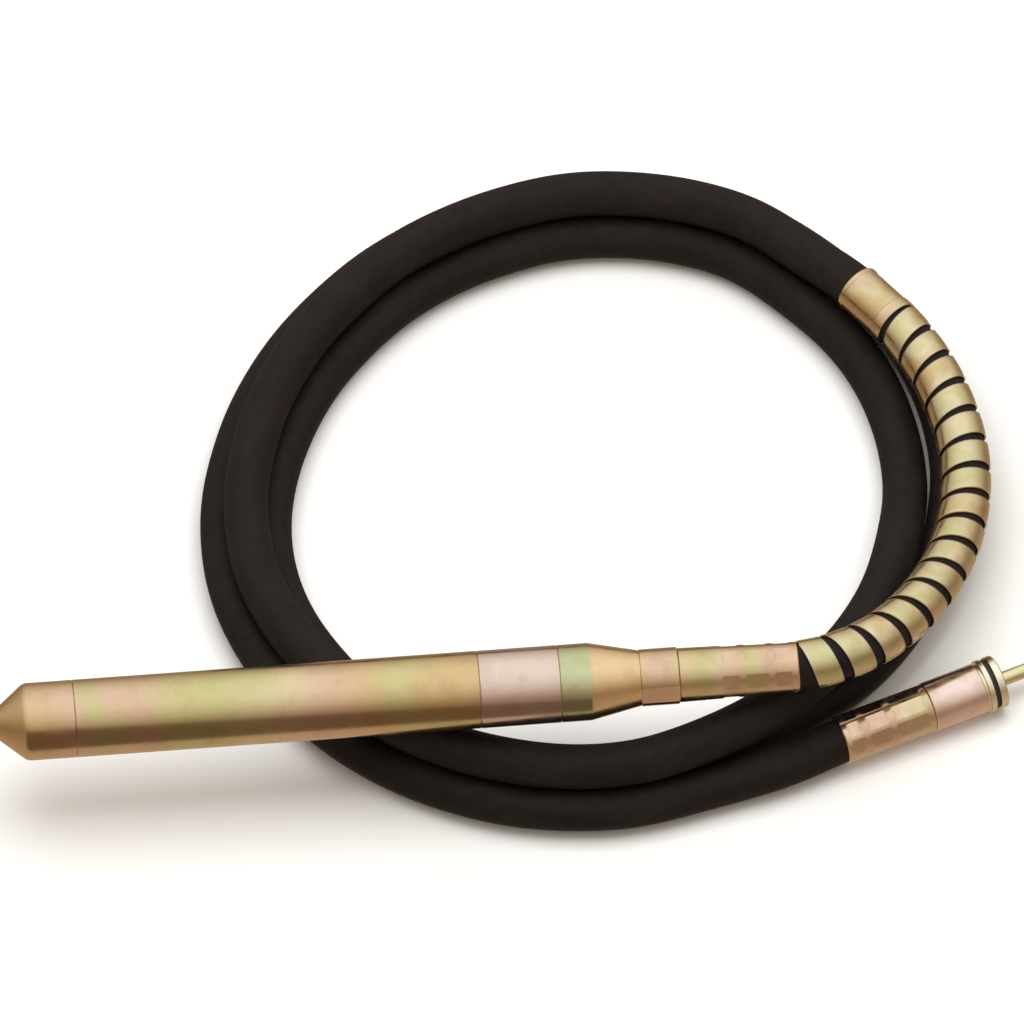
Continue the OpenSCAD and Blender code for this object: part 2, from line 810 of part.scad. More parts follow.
// The core's end in the coupling, and the tip that stands out of the ring
tip_thread_r = 4;
module core_end_drive() {
    s_end = s_core_end + 6;
    color(steel)
        on_drive()
            difference() {
                translate([0, 0, s_core_end - core_grip])
                    cylinder(r = core_end_r, h = s_end - s_core_end + core_grip);
                translate([0, 0, s_core_end - core_grip - 1])
                    cylinder(r = core_d / 2 + core_clear, h = core_grip + 1);
                translate([0, 0, s_core_end - 1])
                    cylinder(r = tip_thread_r + fit_gap, h = s_end - s_core_end + 2);
            }
}
shaft_end = 2.6;
clip_r_in = 6.2;
clip_w = 1.2;
module drive_tip() {
    s_shaft = s_core_end + 6.1;
    s_clip = s_ring + 0.6;
    s_tip = s_ring + ring_len + tip_len;
    r = tip_d / 2;
    color(plated)
        on_drive()
            turned_part([
                [0, s_core_end + 0.5], [tip_thread_r, s_core_end + 0.5], [tip_thread_r, s_shaft],
                [shaft_r, s_shaft], [shaft_r, s_clip], [clip_r_in, s_clip],
                [clip_r_in, s_clip + clip_w], [shaft_r, s_clip + clip_w],
                [shaft_r, s_clip + clip_w + shaft_end],
                [r + 0.2, s_clip + clip_w + shaft_end + 1.5], [r + 0.2, s_ring + ring_len],
                [r, s_ring + ring_len], [r, s_tip - 1], [r - 1, s_tip], [0, s_tip]]);
}
module drive_circlip() {
    s_clip = s_ring + 0.6;
    color(steel)
        on_drive()
            difference() {
                ring(clip_r_in + fit_gap, shaft_r + 1.5, s_clip + 0.1, s_clip + clip_w - 0.1);
                translate([0, 0, s_clip - 1])
                    linear_extrude(height = clip_w + 2)
                        polygon([[0, 0], [20, -5], [20, 5]]);
            }
}

nose_cone();
nose_seal_ring();
head_tube();
preload_ring();
front_bearing_outer();
front_bearing_inner();
front_bearing_cage();
front_bearing_balls();
eccentric_rotor();
rear_bearing_outers();
rear_bearing_inners();
rear_bearing_cages();
rear_bearing_balls();
bearing_housing();
housing_seal_ring();
rear_circlip();
oil_seal();
drive_socket();
tail_cone();
tail_seal_ring();
hose_nut();
hose_stem_head();
head_ferrule();
core_end_head();
drive_core();
hose_liner();
hose();
guard_spring();
guard_sleeve();
drive_ferrule();
hose_stem_drive();
drive_coupling();
drive_bush();
coupling_ring();
ring_seal();
core_end_drive();
drive_tip();
drive_circlip();
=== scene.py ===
import json
import math

import bmesh
import bpy
import numpy as np
from mathutils import Matrix, Vector


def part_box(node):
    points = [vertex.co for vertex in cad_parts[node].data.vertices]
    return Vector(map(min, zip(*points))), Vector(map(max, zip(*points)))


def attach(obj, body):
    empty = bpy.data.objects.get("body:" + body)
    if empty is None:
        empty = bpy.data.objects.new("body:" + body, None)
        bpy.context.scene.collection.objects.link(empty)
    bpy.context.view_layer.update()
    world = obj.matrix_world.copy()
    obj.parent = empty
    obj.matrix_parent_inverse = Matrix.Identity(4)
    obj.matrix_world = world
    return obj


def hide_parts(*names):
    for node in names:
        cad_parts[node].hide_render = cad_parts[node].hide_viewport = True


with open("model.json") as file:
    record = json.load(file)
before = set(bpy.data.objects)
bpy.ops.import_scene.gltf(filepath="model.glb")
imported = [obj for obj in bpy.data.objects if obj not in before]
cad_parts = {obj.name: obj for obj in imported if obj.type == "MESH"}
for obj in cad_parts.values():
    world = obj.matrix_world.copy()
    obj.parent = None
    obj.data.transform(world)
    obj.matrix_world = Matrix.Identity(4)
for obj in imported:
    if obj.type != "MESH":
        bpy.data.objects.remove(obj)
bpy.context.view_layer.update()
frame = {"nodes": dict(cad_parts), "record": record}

MM = 0.001
TURN = 2 * math.pi
scene = bpy.context.scene

# ---------------------------------------------------------------- places, all from the frame
tube_low, tube_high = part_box("head_tube")
HEAD_Y = (tube_low.y + tube_high.y) / 2
HEAD_Z = (tube_low.z + tube_high.z) / 2
HEAD_R = (tube_high.z - tube_low.z) / 2

X_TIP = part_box("nose_cone")[0].x
X_TUBE = tube_low.x
X_HOUSING = tube_high.x
X_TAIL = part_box("bearing_housing")[1].x
X_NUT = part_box("hose_nut")[0].x
X_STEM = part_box("hose_stem_head")[0].x
X_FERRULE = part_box("hose_nut")[1].x
X_HOSE_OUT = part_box("head_ferrule")[1].x
NUT_R = (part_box("hose_nut")[1].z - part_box("hose_nut")[0].z) / 2
HEAD_FERRULE_R = (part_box("head_ferrule")[1].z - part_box("head_ferrule")[0].z) / 2

MOUNTS = {m["name"]: m for m in frame["record"]["mounts"]}
DRIVE_AXIS = Vector(MOUNTS["coupling_flange"]["axis"])
DRIVE_AXIS.normalize()
DRIVE_POINT = Vector(MOUNTS["coupling_flange"]["pos_m"])
DRIVE_TURN = math.atan2(DRIVE_AXIS.y, DRIVE_AXIS.x)
RING_R = MOUNTS["coupling_flange"]["dims"]["r_mm"] * MM
TIP_R = MOUNTS["drive_tip"]["dims"]["r_mm"] * MM


def drive_span(node):
    """Where a node begins and ends along the drive coupling's axis, and its radius."""
    points = [v.co - DRIVE_POINT for v in frame["nodes"][node].data.vertices]
    along = [p.dot(DRIVE_AXIS) for p in points]
    out = max((p - DRIVE_AXIS * p.dot(DRIVE_AXIS)).length for p in points)
    return min(along), max(along), out


S_MOUTH, S_COUPLING, DRIVE_FERRULE_R = drive_span("drive_ferrule")
S_RING, COUPLING_R = drive_span("drive_coupling")[1:]
S_FACE = drive_span("coupling_ring")[1]
S_TIP = drive_span("drive_tip")[1]

ON_HEAD = Matrix.Translation((0, HEAD_Y, HEAD_Z))
ON_DRIVE = Matrix.Translation(DRIVE_POINT) @ Matrix.Rotation(DRIVE_TURN, 4, "Z")

# ---------------------------------------------------------------- camera
CAMERA_ELEVATION = math.radians(56)
CAMERA_TURN = math.radians(4.92)
CAMERA_DISTANCE = 20
CAMERA_REACH = 50
CAMERA_TARGET = Vector((0.0107, 0.1909, 0))
SENSOR_WIDTH_MM = 36
LENS_MM = 1062


def make_camera():
    """Long lens, looking down on the coil."""
    forward = Vector((
        math.sin(CAMERA_TURN) * math.cos(CAMERA_ELEVATION),
        math.cos(CAMERA_TURN) * math.cos(CAMERA_ELEVATION),
        -math.sin(CAMERA_ELEVATION)))
    data = bpy.data.cameras.new("camera")
    data.sensor_width = SENSOR_WIDTH_MM
    data.lens = LENS_MM
    data.clip_end = CAMERA_REACH
    camera = bpy.data.objects.new("camera", data)
    camera.location = CAMERA_TARGET - forward * CAMERA_DISTANCE
    camera.rotation_mode = "QUATERNION"
    camera.rotation_quaternion = forward.to_track_quat("-Z", "Y")
    scene.collection.objects.link(camera)
    scene.camera = camera


make_camera()

# ---------------------------------------------------------------- route of the hose, as in CAD
HOSE_D = 30 * MM
HOSE_R = HOSE_D / 2
HOSE_BORE_R = 10.3 * MM
LOOP_CENTRE = (65 * MM, 185 * MM)
# Polar angle about the coil's centre, counted on through every turn, radius and height in mm
STATIONS = [
    (-52.5, 230.5, 81.5), (-45, 238, 76.5), (-37.5, 241.5, 69.5), (-30, 243.5, 62.5),
    (-22.5, 245, 56.5), (-15, 245.5, 51), (-7.5, 245.5, 48), (0, 244.5, 47), (15, 239, 47),
    (27, 233.5, 46), (36, 230, 45), (45, 227.5, 43.5), (60, 227.5, 42.5), (75, 227.5, 42),
    (270, 227.5, 42), (285, 225, 43.5), (300, 219, 46), (315, 214, 46), (330, 209, 41),
    (345, 205, 33), (360, 206, 15), (390, 210, 15), (420, 212, 15), (645, 212, 15),
    (660, 215, 15), (675, 222, 15), (690, 226.5, 15), (705, 232, 15), (720, 238, 15),
    (735, 241, 15), (750, 243, 15), (1005, 243, 15)]
# How far every turn stands out at a polar angle, in mm
BULGES = [
    (0, 0), (45, 0), (60, 4), (75, 2.5), (90, 0), (105, -4.5), (120, -6.5), (135, -8),
    (150, -6), (165, -2), (180, 4), (195, 8), (225, 8), (240, 5.5), (255, 3), (270, 0),
    (285, -4), (300, -2), (315, 0), (360, 0)]
# The one point between the coil and the drive ferrule, in mm
LEAD_POINT = (167, -36.5, 16)
# Polar angles of the route's points on the coil
RING_ANGLES = [*np.arange(-52.5, 23, 7.5), 26, 36, *np.arange(45, 1006, 15)]
SLEEVE_ANGLES = (26, 36)
HOSE_INSIDE = 20 * MM
ROUTE_STEP = 1.5 * MM
SPLINE_STEPS = 24
EASING_PASSES = 60


def read_off(table, at, column):
    """Straight-line value of a column of a table whose first column is the angle."""
    rows = np.array(table, float)
    return float(np.interp(at, rows[:, 0], rows[:, column]))


def coil_point(angle):
    """Point of the hose's centre line at a polar angle, in degrees, about the coil's centre."""
    bulge = 0 if angle < 0 else read_off(BULGES, angle % 360, 1)
    radius = (read_off(STATIONS, angle, 1) + bulge) * MM
    polar = math.radians(angle)
    return (LOOP_CENTRE[0] + radius * math.cos(polar), LOOP_CENTRE[1] + radius * math.sin(polar),
            read_off(STATIONS, angle, 2) * MM)


def spline(points, step):
    """Centripetal Catmull-Rom curve through the points, as points a step apart."""
    p = np.array(points, float)
    p = np.vstack([2 * p[0] - p[1], p, 2 * p[-1] - p[-2]])
    fine = []
    for i in range(1, len(p) - 2):
        knots = [0.0]
        for a, b in ((i - 1, i), (i, i + 1), (i + 1, i + 2)):
            knots.append(knots[-1] + math.sqrt(np.linalg.norm(p[b] - p[a])))
        k0, k1, k2, k3 = knots
        for t in np.linspace(k1, k2, SPLINE_STEPS, endpoint=False):
            a1 = ((k1 - t) * p[i - 1] + (t - k0) * p[i]) / (k1 - k0)
            a2 = ((k2 - t) * p[i] + (t - k1) * p[i + 1]) / (k2 - k1)
            a3 = ((k3 - t) * p[i + 1] + (t - k2) * p[i + 2]) / (k3 - k2)
            b1 = ((k2 - t) * a1 + (t - k0) * a2) / (k2 - k0)
            b2 = ((k3 - t) * a2 + (t - k1) * a3) / (k3 - k1)
            fine.append(((k2 - t) * b1 + (t - k1) * b2) / (k2 - k1))
    fine.append(p[-2])
    return respaced(np.array(fine), step)


def respaced(line, step):
    """The same line with its points a step apart."""
    along = np.concatenate([[0], np.cumsum(np.linalg.norm(np.diff(line, axis=0), axis=1))])
    at = np.linspace(0, along[-1], max(2, round(along[-1] / step) + 1))
    return np.stack([np.interp(at, along, line[:, k]) for k in range(3)], axis=1)


def relaxed(line, passes):
    """The line with its small kinks eased out; its two ends stay where they are."""
    line = line.copy()
    for _ in range(passes):
        line[1:-1] = 0.5 * line[1:-1] + 0.25 * (line[:-2] + line[2:])
    return line


class Route:
    """A line with a direction, a sideways and an upward unit vector at every point."""

    def __init__(self, line):
        self.points = line
        steps = np.linalg.norm(np.diff(line, axis=0), axis=1)
        self.along = np.concatenate([[0], np.cumsum(steps)])
        self.length = float(self.along[-1])
        self.ahead = np.gradient(line, axis=0)
        self.ahead /= np.linalg.norm(self.ahead, axis=1)[:, None]

    def frame_at(self, s):
        """The point at the distance s along, and the unit vectors ahead, sideways and up."""
        s = np.asarray(s, float)
        here = np.stack([np.interp(s, self.along, self.points[:, k]) for k in range(3)], axis=-1)
        ahead = np.stack([np.interp(s, self.along, self.ahead[:, k]) for k in range(3)], axis=-1)
        ahead /= np.linalg.norm(ahead, axis=-1, keepdims=True)
        side = np.cross(ahead, [0, 0, 1.0])
        side /= np.linalg.norm(side, axis=-1, keepdims=True)
        return here, ahead, side, np.cross(side, ahead)

    def place(self, s, radius, angle):
        """A point at the distance s along, out by radius at an angle round the line."""
        here, _, side, up = self.frame_at(s)
        radius, angle = np.asarray(radius)[..., None], np.asarray(angle)[..., None]
        return here + radius * (np.cos(angle) * side + np.sin(angle) * up)

    def part(self, start, end):
        """The stretch between two distances along."""
        inside = (self.along > start) & (self.along < end)
        first, last = self.frame_at(start)[0], self.frame_at(end)[0]
        return Route(np.vstack([first, self.points[inside], last]))

    def station(self, point):
        """Distance along at the route's point nearest to a given one."""
        gaps = np.linalg.norm(self.points - np.array(point), axis=1)
        return float(self.along[np.argmin(gaps)])


def make_route():
    """The hose's centre line from the head's nut, round the coil, to the drive coupling."""
    head = [(x, HEAD_Y, HEAD_Z) for x in (X_FERRULE, X_HOSE_OUT - HOSE_INSIDE, X_HOSE_OUT)]
    coil = [coil_point(a) for a in RING_ANGLES]
    lead = [tuple(v * MM for v in LEAD_POINT)]
    mouth = DRIVE_POINT + DRIVE_AXIS * S_MOUTH
    drive = [tuple(mouth + DRIVE_AXIS * s) for s in (0, HOSE_INSIDE, S_COUPLING - S_MOUTH)]
    line = spline(head + coil + lead + drive, ROUTE_STEP)
    line[:, 2] = np.maximum(line[:, 2], HOSE_R)
    return Route(relaxed(line, EASING_PASSES))


whole = make_route()
S_OUT = whole.station((X_HOSE_OUT, HEAD_Y, HEAD_Z))
S_IN = whole.station(DRIVE_POINT + DRIVE_AXIS * S_MOUTH)
hose_route = whole.part(S_OUT - HOSE_INSIDE, S_IN + HOSE_INSIDE)


# ---------------------------------------------------------------- mesh building
SHARP = math.radians(38)
MERGE_GAP = 1e-6
ON_AXIS = 1e-9
# An eased corner takes at most this share of the straight runs beside it
ARC_SHARE = 0.45


def finish_mesh(name, coordinates, faces, uvs=None, worn=None, place=None):
    """An object from coordinates and faces. uvs has one pair per face corner, in face order;
    worn has one value per point and says how far an edge has rubbed bright."""
    mesh = bpy.data.meshes.new(name)
    mesh.from_pydata([tuple(c) for c in coordinates], [], [tuple(f) for f in faces])
    if uvs is not None:
        layer = mesh.uv_layers.new(name="run")
        layer.data.foreach_set("uv", np.asarray(uvs, np.float32).ravel())
    if worn is not None:
        rubbed = mesh.attributes.new("worn", "FLOAT", "POINT")
        rubbed.data.foreach_set("value", np.asarray(worn, np.float32))
    shape = bmesh.new()
    shape.from_mesh(mesh)
    if place is not None:
        shape.transform(place)
    bmesh.ops.remove_doubles(shape, verts=shape.verts, dist=MERGE_GAP)
    bmesh.ops.recalc_face_normals(shape, faces=shape.faces)
    for face in shape.faces:
        face.smooth = True
    shape.to_mesh(mesh)
    shape.free()
    mesh.set_sharp_from_angle(angle=SHARP)
    piece = bpy.data.objects.new(name, mesh)
    scene.collection.objects.link(piece)
    return piece


def grid_faces(rings, sides, closed_ends, loop):
    """Faces between rings of points; loop joins the last ring to the first."""
    faces = []
    for i in range(rings if loop else rings - 1):
        a, b = i * sides, (i + 1) % rings * sides
        faces += [(a + j, a + (j + 1) % sides, b + (j + 1) % sides, b + j) for j in range(sides)]
    if closed_ends:
        faces.append(tuple(range(sides)))
        faces.append(tuple(reversed(range((rings - 1) * sides, rings * sides))))
    return faces


def grid_uvs(rings, sides, closed_ends, loop, along, around):
    """Corner by corner: the distance along and the distance around, without a jump at the seam."""
    uvs = []
    for i in range(rings if loop else rings - 1):
        a, b = along[i], along[(i + 1) % rings] if i + 1 < rings else along[i]
        for j in range(sides):
            p, q = around * j / sides, around * (j + 1) / sides
            uvs += [(a, p), (a, q), (b, q), (b, p)]
    if closed_ends:
        uvs += [(along[0], 0)] * sides + [(along[-1], 0)] * sides
    return uvs


def rounded(outline, radius, steps=4):
    """A closed outline of (radius, station) with each corner eased by an arc. A third number
    at a point is the radius of its own arc."""
    eased = []
    n = len(outline)
    for i in range(n):
        before, corner, after = (np.array(outline[(i + k) % n][:2], float) for k in (-1, 0, 1))
        if corner[0] < ON_AXIS:
            eased.append((tuple(corner), 0.0))
            continue
        back, on = before - corner, after - corner
        turn = math.acos(np.clip(
            -np.dot(back, on) / np.linalg.norm(back) / np.linalg.norm(on), -1, 1))
        arc = outline[i][2] if len(outline[i]) > 2 else radius
        reach = min(arc * math.tan(turn / 2), ARC_SHARE * np.linalg.norm(back),
                    ARC_SHARE * np.linalg.norm(on))
        start = corner + back / np.linalg.norm(back) * reach
        end = corner + on / np.linalg.norm(on) * reach
        convex = back[1] * on[0] - back[0] * on[1] > 0
        worn = min(1.0, turn) * min(1.0, MM / arc) if convex else 0.0
        for t in np.linspace(0, 1, steps + 1):
            point = (1 - t) ** 2 * start + 2 * t * (1 - t) * corner + t ** 2 * end
            eased.append((tuple(point), worn * math.sin(math.pi * t) ** 0.5))
    return eased


def filled(outline, gap):
    """Adds points along the outline's long outer runs, at most a gap apart."""
    full = []
    for i, (point, worn) in enumerate(outline):
        full.append((point, worn))
        after, _ = outline[(i + 1) % len(outline)]
        if i + 1 == len(outline) and point[0] < ON_AXIS:
            continue
        run = math.dist(point, after)
        for k in range(1, math.ceil(run / gap)):
            t = k * gap / run
            full.append((tuple((1 - t) * a + t * b for a, b in zip(point, after)), 0.0))
    return full


def turned(name, outline, place, radius=0.5 * MM, sides=144, shape=None, gap=None):
    """Solid of revolution about the local X axis. outline is a closed list of
    (radius, station) that runs along the outside first and comes back through the bore;
    shape changes a radius by its station and angle. Angle 0 faces the front, a quarter up."""
    eased = rounded(outline, radius)
    if gap:
        eased = filled(eased, gap)
    along, coordinates, worn = [], [], []
    run = 0.0
    for i, ((r, x), rub) in enumerate(eased):
        if i:
            run += math.dist(eased[i - 1][0], (r, x))
        along.append(run)
        for j in range(sides):
            angle = TURN * j / sides
            out = shape(r, x, angle) if shape else r
            coordinates.append((x, -out * math.cos(angle), out * math.sin(angle)))
            worn.append(rub)
    loop = not (outline[0][0] < ON_AXIS and outline[-1][0] < ON_AXIS)
    around = TURN * max(point[0] for point in outline)
    return finish_mesh(
        name, coordinates, grid_faces(len(eased), sides, False, loop),
        grid_uvs(len(eased), sides, False, loop, along, around), worn, place)


def pipe(name, route, outer, inner, sides=48, step=5 * MM, ripple=None):
    """A tube along a route, or a rod when inner is None."""
    count = max(2, round(route.length / step) + 1)
    s = np.linspace(0, route.length, count)
    angles = TURN * np.arange(sides) / sides
    grid_s, grid_a = np.meshgrid(s, angles, indexing="ij")
    radius = np.full_like(grid_s, outer)
    if ripple:
        radius = radius + ripple(grid_s, grid_a)
    outside = route.place(grid_s, radius, grid_a).reshape(-1, 3)
    around = TURN * outer
    if inner is None:
        return finish_mesh(name, outside, grid_faces(count, sides, True, False),
                           grid_uvs(count, sides, True, False, s, around))
    inside = route.place(grid_s[::-1], np.full_like(grid_s, inner), grid_a).reshape(-1, 3)
    along = np.concatenate([s, s[::-1]])
    return finish_mesh(
        name, np.vstack([outside, inside]), grid_faces(2 * count, sides, False, True),
        grid_uvs(2 * count, sides, False, True, along, around))


# ---------------------------------------------------------------- materials
class Finish:
    """A material and short ways to add nodes to it."""

    def __init__(self, name, fixed):
        self.material = bpy.data.materials.new(name)
        self.material.use_nodes = True
        self.tree = self.material.node_tree
        self.shader = self.tree.nodes["Principled BSDF"]
        for socket, value in fixed.items():
            self.shader.inputs[socket].default_value = value

    def node(self, kind, inputs=None, **settings):
        made = self.tree.nodes.new(kind)
        for key, value in settings.items():
            setattr(made, key, value)
        for key, value in (inputs or {}).items():
            self.feed(made.inputs[key], value)
        return made

    def feed(self, socket, value):
        if isinstance(value, bpy.types.NodeSocket):
            self.tree.links.new(value, socket)
        else:
            socket.default_value = value

    def run(self, scale):
        """The piece's own coordinates: x along it and y round it, in metres times scale."""
        place = self.node("ShaderNodeUVMap", uv_map="run").outputs[0]
        return self.node("ShaderNodeMapping", {0: place, 3: scale}).outputs[0]

    def body(self, scale):
        """Coordinates fixed to the piece, in metres times scale."""
        place = self.node("ShaderNodeTexCoord").outputs["Object"]
        return self.node("ShaderNodeMapping", {0: place, 3: scale}).outputs[0]

    def noise(self, place, size=1.0, detail=3.0, rough=0.55, twist=0.0):
        return self.node("ShaderNodeTexNoise", {
            "Vector": place, "Scale": size, "Detail": detail, "Roughness": rough,
            "Distortion": twist}).outputs["Fac"]

    def wave(self, place, size, direction):
        return self.node("ShaderNodeTexWave", {"Vector": place, "Scale": size},
                         bands_direction=direction).outputs["Fac"]

    def sums(self, operation, a, b, clamp=False):
        return self.node("ShaderNodeMath", {0: a, 1: b}, operation=operation,
                         use_clamp=clamp).outputs[0]

    def spread(self, value, low, high, to_low=0.0, to_high=1.0):
        return self.node("ShaderNodeMapRange", {
            "Value": value, "From Min": low, "From Max": high, "To Min": to_low,
            "To Max": to_high}).outputs[0]

    def mix(self, amount, a, b, blend="MIX"):
        made = self.node("ShaderNodeMix", data_type="RGBA", blend_type=blend)
        self.feed(made.inputs[0], amount)
        self.feed(made.inputs[6], a)
        self.feed(made.inputs[7], b)
        return made.outputs[2]

    def ramp(self, value, stops):
        made = self.node("ShaderNodeValToRGB", {0: value})
        elements = made.color_ramp.elements
        while len(elements) < len(stops):
            elements.new(1.0)
        for element, (at, colour) in zip(elements, stops):
            element.position = at
            element.color = colour
        return made.outputs[0]

    def worn(self):
        return self.node("ShaderNodeAttribute", attribute_name="worn").outputs["Fac"]

    def bump(self, height, distance, strength=1.0, below=None):
        made = self.node("ShaderNodeBump", {
            "Height": height, "Distance": distance, "Strength": strength})
        if below is not None:
            self.feed(made.inputs["Normal"], below)
        return made.outputs[0]

    def surface(self, colour=None, roughness=None, normal=None):
        for socket, value in (("Base Color", colour), ("Roughness", roughness), ("Normal", normal)):
            if value is not None:
                self.feed(self.shader.inputs[socket], value)
        return self.material


def srgb(red, green, blue):
    """A colour given as a screen shows it, 0 to 255."""
    return (*(((v / 255 + 0.055) / 1.055) ** 2.4 for v in (red, green, blue)), 1.0)


GOLD = srgb(216, 190, 142)
PINK = srgb(222, 190, 164)
LIME = srgb(208, 200, 146)
CREAM = srgb(222, 206, 166)
ORANGE = srgb(238, 208, 162)
ROSE = srgb(228, 207, 195)
MINT = srgb(207, 209, 174)
BARE = srgb(214, 208, 196)


def plated(name, stops, patch=1.0, rough=0.22, marks=1.0, run=None, beyond=None):
    """Yellow passivated zinc plate: a tint that drifts between stops, turning marks round
    the piece, faint scratches, and edges rubbed back to the paler zinc. With run, the stops
    follow each other along X from run[0] to run[1]; beyond is (station, tint) of a second
    tint that takes over there."""
    f = Finish(name, {"Metallic": 1.0})
    drift = f.noise(f.body((13 * patch,) * 3), detail=1.5, twist=0.3)
    cloud = f.noise(f.body((75 * patch,) * 3), detail=5.0)
    along = f.node("ShaderNodeSeparateXYZ", {0: f.body((1, 1, 1))}).outputs[0]
    if run:
        wander = f.sums("MULTIPLY", f.sums("SUBTRACT", drift, 0.5), 0.35)
        hue = f.sums("ADD", f.spread(along, *run), wander)
    else:
        hue = f.sums("ADD", f.sums("MULTIPLY", drift, 0.85), f.sums("MULTIPLY", cloud, 0.15))
    tint = f.ramp(hue, stops)
    if beyond:
        tint = f.mix(f.spread(along, beyond[0], beyond[0] + 3 * MM), tint, beyond[1])
    turning = f.noise(f.run((5200, 14, 1)), detail=2.0)
    scratch = f.spread(f.noise(f.run((60, 2600, 1)), detail=1.0), 0.69, 0.76)
    stain = f.spread(f.noise(f.body((60,) * 3), detail=4.0), 0.5, 0.75)
    colour = f.mix(f.sums("MULTIPLY", stain, 0.2), tint, srgb(166, 124, 78))
    colour = f.mix(f.sums("MULTIPLY", scratch, 0.12), colour, BARE)
    rubbed = f.sums("MULTIPLY", f.worn(), f.spread(cloud, 0.35, 0.6, 0.35, 1.0), clamp=True)
    colour = f.mix(f.sums("MULTIPLY", rubbed, 0.6), colour, BARE)
    roughness = f.spread(cloud, 0.3, 0.7, rough - 0.03, rough + 0.06)
    roughness = f.sums("ADD", roughness, f.sums("MULTIPLY", stain, 0.1), clamp=True)
    normal = f.bump(turning, 0.03 * MM, 0.25 * marks)
    normal = f.bump(scratch, 0.02 * MM, 0.25, normal)
    return f.surface(colour, roughness, normal)


# Cloth threads printed in the hose cover, as the wave texture's scale
WEAVE = 230.0


def rubber(name, base, dusty, rough=0.6):
    """Hose cover: the imprint of the cloth it was wrapped in, tape edges and faint dust."""
    f = Finish(name, {"Specular IOR Level": 0.13})
    dust = f.noise(f.run((22, 40, 1)), detail=6.0, rough=0.65)
    blotch = f.noise(f.run((140, 160, 1)), detail=5.0)
    colour = f.mix(f.spread(dust, 0.45, 0.8, 0.0, 0.75), base, dusty)
    colour = f.mix(f.spread(blotch, 0.4, 0.75, 0.0, 0.35), colour, dusty)
    weave = f.sums("MULTIPLY", f.wave(f.run((1, 1, 1)), WEAVE, "X"),
                   f.wave(f.run((1, 1, 1)), WEAVE, "Y"))
    spiral = f.node("ShaderNodeVectorMath", {0: f.run((1, 1, 1)), 1: (22.0, 4.6, 0.0)},
                    operation="DOT_PRODUCT").outputs["Value"]
    lap = f.node("ShaderNodeMath", {0: spiral}, operation="FRACT").outputs[0]
    edge = f.spread(lap, 0.0, 0.05, 1.0, 0.0)
    normal = f.bump(weave, 0.08 * MM, 0.25)
    normal = f.bump(edge, 0.12 * MM, 0.5, normal)
    normal = f.bump(blotch, 0.3 * MM, 0.25, normal)
    roughness = f.spread(dust, 0.3, 0.7, rough - 0.08, rough + 0.12)
    return f.surface(colour, roughness, normal)


def machined(name, tint, rough):
    """Ground or turned steel and bronze inside the head."""
    f = Finish(name, {"Metallic": 1.0})
    cloud = f.noise(f.body((60, 60, 60)), detail=4.0)
    marks = f.noise(f.body((900, 30, 30)), detail=2.0)
    darker = (*(v * 0.72 for v in tint[:3]), 1.0)
    colour = f.mix(f.spread(cloud, 0.35, 0.7, 0.0, 0.5), tint, darker)
    return f.surface(colour, f.spread(cloud, 0.3, 0.7, rough, rough + 0.12),
                     f.bump(marks, 0.03 * MM, 0.4))


def smooth_rubber(name, tint):
    f = Finish(name, {"Specular IOR Level": 0.4})
    cloud = f.noise(f.body((240, 240, 240)), detail=4.0)
    return f.surface(f.mix(f.spread(cloud, 0.35, 0.75, 0.0, 0.6), tint, srgb(58, 56, 54)),
                     f.spread(cloud, 0.3, 0.7, 0.42, 0.6), f.bump(cloud, 0.05 * MM, 0.4))


TAIL_LAND = 20 * MM

HEAD_PLATE = plated("head_plate", [
    (0.04, GOLD), (0.12, PINK), (0.19, LIME), (0.27, PINK), (0.36, LIME), (0.50, LIME),
    (0.60, CREAM), (0.70, PINK), (0.80, GOLD), (0.88, LIME), (0.96, GOLD)],
    run=(X_TIP, X_HOUSING))
HOUSING_PLATE = plated("housing_plate", [(0.4, ROSE), (0.6, srgb(222, 200, 181))], rough=0.2)
TAIL_PLATE = plated("tail_plate", [(0.4, MINT), (0.6, srgb(199, 203, 158))], patch=2.0,
                    beyond=(X_TAIL + TAIL_LAND - 1 * MM, ORANGE))
NECK_PLATE = plated("neck_plate", [
    (0.0, srgb(226, 198, 160)), (0.12, PINK), (0.24, srgb(220, 200, 156)), (0.36, LIME),
    (0.48, srgb(224, 204, 170)), (0.60, PINK), (0.70, LIME), (0.82, PINK),
    (1.0, srgb(228, 194, 166))], patch=1.8, run=(X_NUT, X_HOSE_OUT))
FERRULE_PLATE = plated("ferrule_plate", [
    (0.36, PINK), (0.46, srgb(228, 206, 174)), (0.55, srgb(220, 206, 164)),
    (0.64, srgb(224, 194, 162))], patch=1.8)
GUARD_PLATE = plated("guard_plate", [(0.34, srgb(228, 214, 178)), (0.46, srgb(212, 206, 152)),
                                     (0.56, srgb(230, 214, 178)), (0.66, srgb(214, 190, 140))],
                     patch=2.2, marks=0.6)
SLEEVE_PLATE = plated("sleeve_plate", [(0.4, PINK), (0.5, CREAM), (0.6, GOLD)], patch=2.5)
COUPLING_PLATE = plated("coupling_plate", [(0.4, srgb(246, 222, 212)), (0.6, srgb(242, 216, 202))],
                        rough=0.2)
# Painted light: this tint is paler, near white, than the plate's own colour, to make up for the
# darker surroundings the ring's faces reflect
RING_PLATE = plated("ring_plate", [(0.4, srgb(252, 248, 222)), (0.6, srgb(246, 238, 208))],
                    patch=3.0)
TIP_PLATE = plated("tip_plate", [(0.4, srgb(236, 228, 184)), (0.6, srgb(226, 214, 160))],
                   patch=3.0)
HOSE_RUBBER = rubber("hose_rubber", srgb(28, 22, 21), srgb(42, 36, 34))
MACHINED_STEEL = machined("machined_steel", srgb(176, 178, 182), 0.24)
WIRE_STEEL = machined("wire_steel", srgb(120, 120, 124), 0.38)
BRONZE = machined("bronze", srgb(206, 158, 96), 0.34)
